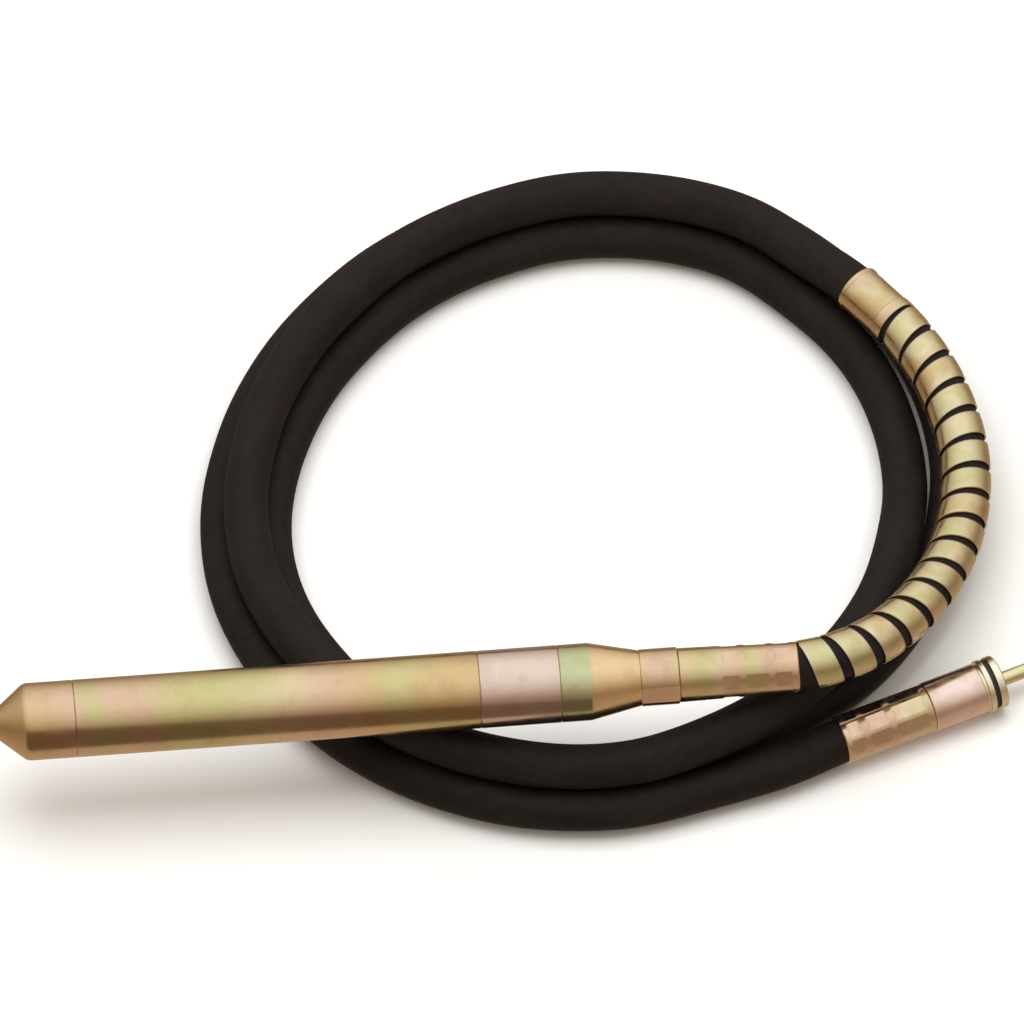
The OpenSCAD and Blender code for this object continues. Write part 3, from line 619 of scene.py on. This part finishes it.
SEAL_RUBBER = smooth_rubber("seal_rubber", srgb(30, 30, 32))

CAD_FINISHES = {
    "plated_steel": HEAD_PLATE, "guard_steel": GUARD_PLATE, "machined_steel": MACHINED_STEEL,
    "wire_steel": WIRE_STEEL, "bronze": BRONZE, "hose_rubber": HOSE_RUBBER,
    "seal_rubber": SEAL_RUBBER}
for part in frame["record"]["subparts"]:
    mesh = frame["nodes"][part["node"]].data
    mesh.materials.clear()
    mesh.materials.append(CAD_FINISHES[part["material_slot"]])


def dress(piece, finish, slot, *nodes):
    """Gives a piece its material, and lets it stand for CAD nodes on their body. The slot argument
    is not used.
    """
    piece.data.materials.append(finish)
    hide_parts(*nodes)
    groups = frame["record"]["behaviour"]["bodies"]
    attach(piece, next(body for body, members in groups.items() if nodes[0] in members))
    return piece


# ---------------------------------------------------------------- head
BORE_R = 20 * MM
EDGE = 0.5 * MM
GROOVE_R = BORE_R - 3.05 * MM
GROOVE_W = 3.4 * MM
NOSE_FLAT_R = 6.9 * MM
NOSE_TAPER = 22.55 * MM
STEM_R = 11.5 * MM
STEM_FLANGE_R = 14 * MM
SPIGOT_LENGTH = 16 * MM
GROOVE_SETBACK = 4 * MM
NOSE_HOLLOW_R = 13 * MM
NOSE_WALL = 2 * MM
HOUSING_BORE_R = 14 * MM
HOUSING_WALL = 5 * MM
CLIP_DEPTH = 1.2 * MM
CLIP_W = 1.75 * MM
TAIL_BORE_R = 11 * MM
TAIL_NECK_R = 9 * MM


def make_nose():
    spigot = X_TUBE + SPIGOT_LENGTH
    groove = X_TUBE + GROOVE_SETBACK
    piece = turned("nose", [
        (0, X_TIP), (NOSE_FLAT_R, X_TIP, 3 * MM), (HEAD_R, X_TIP + NOSE_TAPER, 8 * MM),
        (HEAD_R, X_TUBE - EDGE), (HEAD_R - EDGE, X_TUBE), (BORE_R, X_TUBE), (BORE_R, groove),
        (GROOVE_R, groove), (GROOVE_R, groove + GROOVE_W), (BORE_R, groove + GROOVE_W),
        (BORE_R, spigot), (NOSE_HOLLOW_R, spigot), (NOSE_HOLLOW_R, X_TUBE + NOSE_WALL),
        (0, X_TUBE + NOSE_WALL)],
        ON_HEAD, radius=0.3 * MM)
    dress(piece, HEAD_PLATE, "plated_steel", "nose_cone")


def make_tube():
    piece = turned("tube", [
        (BORE_R, X_TUBE), (HEAD_R - EDGE, X_TUBE), (HEAD_R, X_TUBE + EDGE),
        (HEAD_R, X_HOUSING - EDGE), (HEAD_R - EDGE, X_HOUSING), (BORE_R, X_HOUSING)],
        ON_HEAD, radius=0.3 * MM, gap=8 * MM)
    dress(piece, HEAD_PLATE, "plated_steel", "head_tube")


def make_housing():
    spigot = X_HOUSING - SPIGOT_LENGTH
    groove = X_HOUSING - GROOVE_SETBACK - GROOVE_W
    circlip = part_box("rear_circlip")[0].x - 0.1 * MM
    piece = turned("housing", [
        (HOUSING_BORE_R, spigot), (BORE_R, spigot), (BORE_R, groove), (GROOVE_R, groove),
        (GROOVE_R, groove + GROOVE_W), (BORE_R, groove + GROOVE_W), (BORE_R, X_HOUSING),
        (HEAD_R - EDGE, X_HOUSING), (HEAD_R, X_HOUSING + EDGE), (HEAD_R, X_TAIL - EDGE),
        (HEAD_R - EDGE, X_TAIL), (BORE_R, X_TAIL), (BORE_R, circlip + CLIP_W),
        (BORE_R + CLIP_DEPTH, circlip + CLIP_W), (BORE_R + CLIP_DEPTH, circlip),
        (BORE_R, circlip), (BORE_R, X_HOUSING + HOUSING_WALL),
        (HOUSING_BORE_R, X_HOUSING + HOUSING_WALL)],
        ON_HEAD, radius=0.3 * MM)
    dress(piece, HOUSING_PLATE, "plated_steel", "bearing_housing")


def make_tail():
    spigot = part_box("tail_cone")[0].x
    groove = X_TAIL - 3 * MM - GROOVE_W
    taper = X_TAIL + TAIL_LAND
    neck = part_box("drive_socket")[1].x + 6 * MM
    piece = turned("tail", [
        (TAIL_BORE_R, spigot), (BORE_R, spigot), (BORE_R, groove), (GROOVE_R, groove),
        (GROOVE_R, groove + GROOVE_W), (BORE_R, groove + GROOVE_W), (BORE_R, X_TAIL),
        (HEAD_R - EDGE, X_TAIL), (HEAD_R, X_TAIL + EDGE), (HEAD_R, taper, 2 * MM),
        (NUT_R - 0.4 * MM, X_NUT), (STEM_FLANGE_R, X_NUT), (STEM_FLANGE_R, X_STEM),
        (TAIL_NECK_R, X_STEM), (TAIL_NECK_R, neck + 2 * MM), (TAIL_BORE_R, neck)],
        ON_HEAD, radius=0.3 * MM)
    dress(piece, TAIL_PLATE, "plated_steel", "tail_cone")


FLAT_FACING = math.radians(12)
FLAT_DEPTH = 1.3 * MM
NUT_CHAMFER = 0.6 * MM
STEM_FLANGE_W = 5 * MM


def flattened(radius, angle, facing, inner, round_off=0.35 * MM):
    """Radius of a round bar with a flat at a distance inner from the axis."""
    away = math.cos(angle - facing)
    if away < 0.2:
        return radius
    cut = inner / away
    blend = max(0.0, min(1.0, (cut - radius) / round_off + 0.5))
    return cut * (1 - blend) + radius * blend if cut < radius + round_off / 2 else radius


def make_nut():
    def wrench_flats(radius, x, angle):
        if radius < NUT_R - 1.5 * MM:
            return radius
        inner = NUT_R - FLAT_DEPTH
        return min(flattened(radius, angle, FLAT_FACING, inner),
                   flattened(radius, angle, FLAT_FACING + math.pi, inner))

    piece = turned("nut", [
        (STEM_FLANGE_R, X_NUT), (NUT_R - EDGE, X_NUT), (NUT_R, X_NUT + EDGE),
        (NUT_R, X_FERRULE - NUT_CHAMFER), (NUT_R - NUT_CHAMFER, X_FERRULE), (STEM_R, X_FERRULE),
        (STEM_R, X_STEM + STEM_FLANGE_W), (STEM_FLANGE_R, X_STEM + STEM_FLANGE_W)],
        ON_HEAD, radius=0.25 * MM, sides=288, shape=wrench_flats)
    dress(piece, NECK_PLATE, "plated_steel", "hose_nut")


# ---------------------------------------------------------------- ferrules
FERRULE_BORE_R = 14.8 * MM
FERRULE_WALL = 4 * MM
WALL_CHAMFER = 0.6 * MM
MOUTH_CHAMFER = 0.8 * MM
HEAD_FERRULE_TAPER = 1.3 * MM
JAW_DEPTH = 0.75 * MM
JAW_EDGE = 3 * MM
HEAD_JAWS = 6
DRIVE_JAWS = 8
JAW_FACING = math.radians(29)


def crimped(inner, bands, jaws):
    """Shape of a swaged skirt: the jaws press flats into each band and leave ridges.
    Surfaces nearer the axis than inner stay round."""
    def shape(r, x, angle):
        if r < inner:
            return r
        depth = 0.0
        for start, end in bands:
            into = min(x - start, end - x) / JAW_EDGE
            depth = max(depth, min(1.0, max(0.0, into)))
        if depth <= 0:
            return r
        depth = depth * depth * (3 - 2 * depth)
        step = TURN / jaws
        off = (angle - JAW_FACING + step / 2) % step - step / 2
        pressed = min(r, (r - JAW_DEPTH) / math.cos(off))
        return r + (pressed - r) * depth
    return shape


def skirt(name, radius, taper, start, length, bands, jaws, place, mirrored=False):
    """A crimped ferrule; bands are in mm from its wall end, taper is what its radius loses."""
    way = -1 if mirrored else 1
    mouth = radius - taper
    outline = [
        (STEM_R, 0), (radius - WALL_CHAMFER, 0), (radius, WALL_CHAMFER),
        (mouth, length - MOUTH_CHAMFER), (mouth - MOUTH_CHAMFER, length),
        (FERRULE_BORE_R, length), (FERRULE_BORE_R, FERRULE_WALL), (STEM_R, FERRULE_WALL)]
    shape = crimped((FERRULE_BORE_R + mouth) / 2, [(a * MM, b * MM) for a, b in bands], jaws)
    return turned(name, outline,
                  place @ Matrix.Translation((start, 0, 0)) @ Matrix.Diagonal((way, 1, 1, 1)),
                  radius=0.3 * MM, sides=240, shape=shape, gap=0.6 * MM)


HEAD_CRIMPS = [(27.5, 40.5), (43, 59.5), (62, 74.5)]
DRIVE_CRIMPS = [(3.6, 28), (30.5, 47), (49.5, 60.6)]


def make_ferrules():
    length = X_HOSE_OUT - X_FERRULE
    piece = skirt("ferrule_head", HEAD_FERRULE_R, HEAD_FERRULE_TAPER, X_FERRULE, length,
                  HEAD_CRIMPS, HEAD_JAWS, ON_HEAD)
    dress(piece, NECK_PLATE, "plated_steel", "head_ferrule")
    length = S_COUPLING - S_MOUTH
    piece = skirt("ferrule_drive", DRIVE_FERRULE_R, 0, S_COUPLING, length, DRIVE_CRIMPS,
                  DRIVE_JAWS, ON_DRIVE, mirrored=True)
    dress(piece, FERRULE_PLATE, "plated_steel", "drive_ferrule")


# ---------------------------------------------------------------- hose and guard
LINER_R = 9.9 * MM
LINER_BORE_R = 7.7 * MM
CORE_R = 6 * MM
SWELL = 0.12 * MM
SHORT_SWELLS, LONG_SWELLS = 71, 23


def hose_ripple(s, angle):
    """The cover isn't quite even: slow swells, in radians a metre, that only ever sink in."""
    return SWELL * (np.sin(s * SHORT_SWELLS + 2 * angle) * np.sin(s * LONG_SWELLS - angle) - 1)


def make_hose():
    hose = pipe("rubber_hose", hose_route, HOSE_R, HOSE_BORE_R, sides=56, ripple=hose_ripple)
    dress(hose, HOSE_RUBBER, "hose_rubber", "hose")
    liner = pipe("spiral_liner", hose_route, LINER_R, LINER_BORE_R, sides=32)
    dress(liner, WIRE_STEEL, "wire_steel", "hose_liner")
    core = pipe("flexible_core", hose_route, CORE_R, None, sides=24)
    dress(core, WIRE_STEEL, "wire_steel", "drive_core")
    return hose, liner, core


GUARD_TURNS = 16
STRIP_W = 16.5 * MM
STRIP_GAIN = 1.2 * MM
STRIP_T = 1.2 * MM
STRIP_CROWN = 0.05 * MM
STRIP_CORNER = 0.3 * MM
STRIP_R = HOSE_R + 0.6 * MM
STRIP_PHASE = math.radians(190)
STRIP_FROM = 4.6 * MM
STRIP_TO = 5 * MM
STRIP_END_GAP = 1 * MM
GUARD_BEND_R = 240 * MM
STRIP_STEPS = 60


def sleeve_ends():
    return [Vector(coil_point(a)) for a in SLEEVE_ANGLES]


def make_guard():
    """Flat strip wound round the hose from the head ferrule to the guard sleeve. Its gaps
    close a little towards the sleeve."""
    length = whole.station(sleeve_ends()[0]) - S_OUT
    pitch = length / GUARD_TURNS
    turns = (length - STRIP_FROM - STRIP_TO) / pitch
    count = round(turns * STRIP_STEPS) + 1
    half_t = STRIP_T / 2
    # Points of the cross-section: place across the strip from -1 to 1, how far a corner point
    # is set in from the edge, and how far out from the strip's middle
    corner = [(STRIP_CORNER * (1 - math.sin(t)), half_t - STRIP_CORNER * (1 - math.cos(t)))
              for t in np.linspace(0, math.pi / 2, 4)]
    crown = [(f, 0.0, half_t + STRIP_CROWN * (1 - f * f)) for f in (-0.5, 0.0, 0.5)]
    upper = [(-1, *point) for point in corner] + crown + [(1, *point) for point in reversed(corner)]
    ring = upper + [(f, inset, -out) for f, inset, out in reversed(upper)]
    coordinates, worn, along = [], [], []
    for k in range(count):
        turned_by = TURN * turns * k / (count - 1)
        angle = STRIP_PHASE - turned_by
        s = STRIP_FROM + pitch * turned_by / TURN
        wide = STRIP_W + STRIP_GAIN * k / (count - 1)
        half = wide / 2 / (1 + (STRIP_R + STRIP_T) * math.cos(angle) / GUARD_BEND_R)
        for f, inset, out in ring:
            reach = f * (half - inset if abs(f) == 1 else half)
            at = min(max(s + reach, STRIP_END_GAP), length - STRIP_END_GAP)
            coordinates.append((at, STRIP_R + STRIP_T / 2 + out, angle))
            worn.append(1.0 if abs(f) == 1 and out > 0 and inset < STRIP_CORNER * 0.9 else 0.0)
        along.append(s + (STRIP_R + half_t) * turned_by)
    data = np.array(coordinates)
    placed = whole.place(S_OUT + data[:, 0], data[:, 1], data[:, 2])
    sides = len(ring)
    piece = finish_mesh("guard_strip", placed, grid_faces(count, sides, True, False),
                        grid_uvs(count, sides, True, False, along, 2 * STRIP_W), worn)
    dress(piece, GUARD_PLATE, "guard_steel", "guard_spring")
    return piece


SLEEVE_BORE_R = HOSE_R + 0.1 * MM
SLEEVE_R = 16.3 * MM
COLLAR_R = 16.8 * MM
COLLAR_W = 7.6 * MM
LIP_W = 3.2 * MM


def make_sleeve():
    """Plain sleeve with a collar where the strip runs in and a lip at its other end."""
    start, end = sleeve_ends()
    span = (end - start).length
    place = Matrix.Translation(start) @ (end - start).to_track_quat("X", "Z").to_matrix().to_4x4()
    piece = turned("sleeve", [
        (SLEEVE_BORE_R, 0), (COLLAR_R - 0.4 * MM, 0), (COLLAR_R, 0.4 * MM), (COLLAR_R, COLLAR_W),
        (SLEEVE_R, COLLAR_W + 0.6 * MM), (SLEEVE_R, span - LIP_W - 0.8 * MM),
        (COLLAR_R, span - LIP_W), (COLLAR_R, span - 1 * MM), (COLLAR_R - 0.8 * MM, span),
        (SLEEVE_BORE_R, span)],
        place, radius=0.3 * MM)
    dress(piece, SLEEVE_PLATE, "guard_steel", "guard_sleeve")
    return piece


# ---------------------------------------------------------------- drive end
COUPLING_BORE_R = 10 * MM
SHAFT_BORE_R = 9 * MM
RING_NECK_R = 15.6 * MM
RING_NECK_W = 1.8 * MM
REAR_FLANGE_W = 3.6 * MM
SEAL_GROOVE_W = 3.2 * MM
RING_CHAMFER = 0.8 * MM
RING_WALL = 4 * MM
SEAL_R = 16.9 * MM
SEAL_CORNER = 0.9 * MM
SEAL_PLAY = 0.2 * MM
SHAFT_R = 7 * MM
SHAFT_END_R = 4 * MM
SHAFT_CLIP_R = 6.2 * MM
SHAFT_CLIP_W = 1.2 * MM
TIP_CHAMFER = 1 * MM


def make_coupling():
    bush = drive_span("drive_bush")[0]
    stem = drive_span("hose_stem_drive")[1] + 0.5 * MM
    piece = turned("coupling", [
        (STEM_R, S_COUPLING), (COUPLING_R - EDGE, S_COUPLING), (COUPLING_R, S_COUPLING + EDGE),
        (COUPLING_R, S_RING - EDGE), (COUPLING_R - EDGE, S_RING), (COUPLING_BORE_R, S_RING),
        (COUPLING_BORE_R, bush), (SHAFT_BORE_R, bush), (SHAFT_BORE_R, stem), (STEM_R, stem)],
        ON_DRIVE, radius=0.35 * MM)
    dress(piece, COUPLING_PLATE, "plated_steel", "drive_coupling")


def make_ring():
    """Two flanges with a groove between them, and the dark ring that lies in the groove."""
    flange = S_RING + RING_NECK_W
    groove = flange + REAR_FLANGE_W
    front = groove + SEAL_GROOVE_W
    hole = TIP_R + 0.5 * MM
    piece = turned("coupling_flanges", [
        (SHAFT_BORE_R, S_RING), (RING_NECK_R, S_RING), (RING_NECK_R, flange), (RING_R, flange),
        (RING_R, groove), (RING_NECK_R, groove), (RING_NECK_R, front), (RING_R, front),
        (RING_R, S_FACE - RING_CHAMFER), (RING_R - RING_CHAMFER, S_FACE), (hole, S_FACE),
        (hole, S_FACE - RING_WALL), (SHAFT_BORE_R, S_FACE - RING_WALL)],
        ON_DRIVE, radius=0.5 * MM)
    dress(piece, RING_PLATE, "plated_steel", "coupling_ring")
    seal = turned("groove_seal", [
        (RING_NECK_R, groove + SEAL_PLAY), (SEAL_R, groove + SEAL_PLAY, SEAL_CORNER),
        (SEAL_R, front - SEAL_PLAY, SEAL_CORNER), (RING_NECK_R, front - SEAL_PLAY)],
        ON_DRIVE, radius=0.2 * MM)
    dress(seal, SEAL_RUBBER, "seal_rubber", "ring_seal")


def make_tip():
    shaft = drive_span("drive_tip")[0]
    clip = drive_span("drive_circlip")[0] - 0.1 * MM
    past_clip = clip + SHAFT_CLIP_W
    shoulder = drive_span("core_end_drive")[1] + 0.1 * MM
    inside_r = TIP_R + 0.2 * MM
    piece = turned("tip", [
        (0, shaft), (SHAFT_END_R, shaft), (SHAFT_END_R, shoulder), (SHAFT_R, shoulder),
        (SHAFT_R, clip), (SHAFT_CLIP_R, clip), (SHAFT_CLIP_R, past_clip), (SHAFT_R, past_clip),
        (SHAFT_R, past_clip + 2.6 * MM), (inside_r, past_clip + 4.1 * MM), (inside_r, S_FACE),
        (TIP_R, S_FACE), (TIP_R, S_TIP - TIP_CHAMFER), (TIP_R - TIP_CHAMFER, S_TIP), (0, S_TIP)],
        ON_DRIVE, radius=0.3 * MM, sides=96)
    dress(piece, TIP_PLATE, "plated_steel", "drive_tip")


make_nose()
make_tube()
make_housing()
make_tail()
make_nut()
make_ferrules()
hose, liner, core = make_hose()
guard = make_guard()
sleeve = make_sleeve()
make_coupling()
make_ring()
make_tip()


# ---------------------------------------------------------------- floor and light
FLOOR_HALF = 12
LIGHT_AT = Vector((0.0, 0.35, 2.2))
LIGHT_AIM = Vector((0.0, 0.15, 0))
LIGHT_SIZE = (2.4, 1.6)
LIGHT_WATTS = 36
WORLD_STRENGTH = 1.12
# The tent leans towards the back by this angle. Its colours go from straight under it, -1,
# to its top, 1.
TENT_TILT = math.radians(18)
TENT = [(-1.0, (0.50, 0.38, 0.29)), (-0.60, (0.42, 0.31, 0.23)), (-0.12, (0.28, 0.20, 0.14)),
        (0.15, (0.41, 0.32, 0.25)), (0.40, (0.60, 0.53, 0.46)), (0.72, (0.81, 0.78, 0.73)),
        (0.96, (0.96, 0.96, 0.95))]
FLAG_AWAY = 0.12
FLAG_OVERHANG = 0.07
FLAG_RISE_LEFT = math.radians(33)
FLAG_RISE_RIGHT = math.radians(8)


def make_floor():
    mesh = bpy.data.meshes.new("floor")
    half = FLOOR_HALF
    mesh.from_pydata([(-half, -half, 0), (half, -half, 0), (half, half, 0), (-half, half, 0)],
                     [], [(0, 1, 2, 3)])
    floor = bpy.data.objects.new("floor", mesh)
    f = Finish("floor", {"Roughness": 0.9, "Specular IOR Level": 0.1})
    speck = f.noise(f.body((3, 3, 3)), detail=3.0)
    mesh.materials.append(f.surface(f.mix(f.spread(speck, 0.3, 0.7), srgb(244, 244, 243),
                                          srgb(238, 238, 237))))
    floor.visible_glossy = False
    scene.collection.objects.link(floor)


def make_light():
    """Broad soft light from above. The metal doesn't mirror it."""
    data = bpy.data.lights.new("overhead", "AREA")
    data.shape = "RECTANGLE"
    data.size, data.size_y = LIGHT_SIZE
    data.energy = LIGHT_WATTS
    light = bpy.data.objects.new("overhead", data)
    light.location = LIGHT_AT
    light.rotation_mode = "QUATERNION"
    light.rotation_quaternion = (LIGHT_AIM - LIGHT_AT).to_track_quat("-Z", "Y")
    light.visible_camera = False
    light.visible_glossy = False
    scene.collection.objects.link(light)


def make_world():
    """A white tent over a dark warm room: bright from above, brown towards the horizon."""
    world = bpy.data.worlds.new("studio")
    world.use_nodes = True
    nodes, links = world.node_tree.nodes, world.node_tree.links
    background = nodes["Background"]
    background.inputs["Strength"].default_value = WORLD_STRENGTH
    place = nodes.new("ShaderNodeTexCoord")
    height = nodes.new("ShaderNodeVectorMath")
    height.operation = "DOT_PRODUCT"
    height.inputs[1].default_value = (0, math.sin(TENT_TILT), math.cos(TENT_TILT))
    unit = nodes.new("ShaderNodeMapRange")
    unit.inputs["From Min"].default_value = -1
    shade = nodes.new("ShaderNodeValToRGB")
    elements = shade.color_ramp.elements
    while len(elements) < len(TENT):
        elements.new(1.0)
    for element, (at, colour) in zip(elements, TENT):
        element.position = (at + 1) / 2
        element.color = (*colour, 1)
    links.new(place.outputs["Generated"], height.inputs[0])
    links.new(height.outputs["Value"], unit.inputs["Value"])
    links.new(unit.outputs[0], shade.inputs[0])
    links.new(shade.outputs[0], background.inputs["Color"])
    scene.world = world


def make_flag():
    """A dark card in front of the head that glows dim brown; only the metal sees it, so its glow is
    a painted reflection: the dark brown band on the head.
    """
    away = HEAD_Y - FLAG_AWAY
    left, right = X_TIP - FLAG_OVERHANG, X_NUT
    top_left = HEAD_Z + FLAG_AWAY * math.tan(FLAG_RISE_LEFT)
    top_right = HEAD_Z + FLAG_AWAY * math.tan(FLAG_RISE_RIGHT)
    mesh = bpy.data.meshes.new("flag")
    mesh.from_pydata([(left, away, 0), (right, away, 0), (right, away, top_right),
                      (left, away, top_left)], [], [(0, 1, 2, 3)])
    flag = bpy.data.objects.new("flag", mesh)
    # The dim brown emission is a painted reflection, seen only by glossy rays on the metal
    mesh.materials.append(Finish("flag", {
        "Base Color": (0, 0, 0, 1), "Roughness": 1.0, "Specular IOR Level": 0.0,
        "Emission Color": (0.17, 0.11, 0.075, 1), "Emission Strength": 1.0}).material)
    for ray in ("camera", "diffuse", "transmission", "volume_scatter", "shadow"):
        setattr(flag, "visible_" + ray, False)
    scene.collection.objects.link(flag)


make_floor()
make_flag()
make_world()
make_light()
scene.view_settings.view_transform = "Standard"
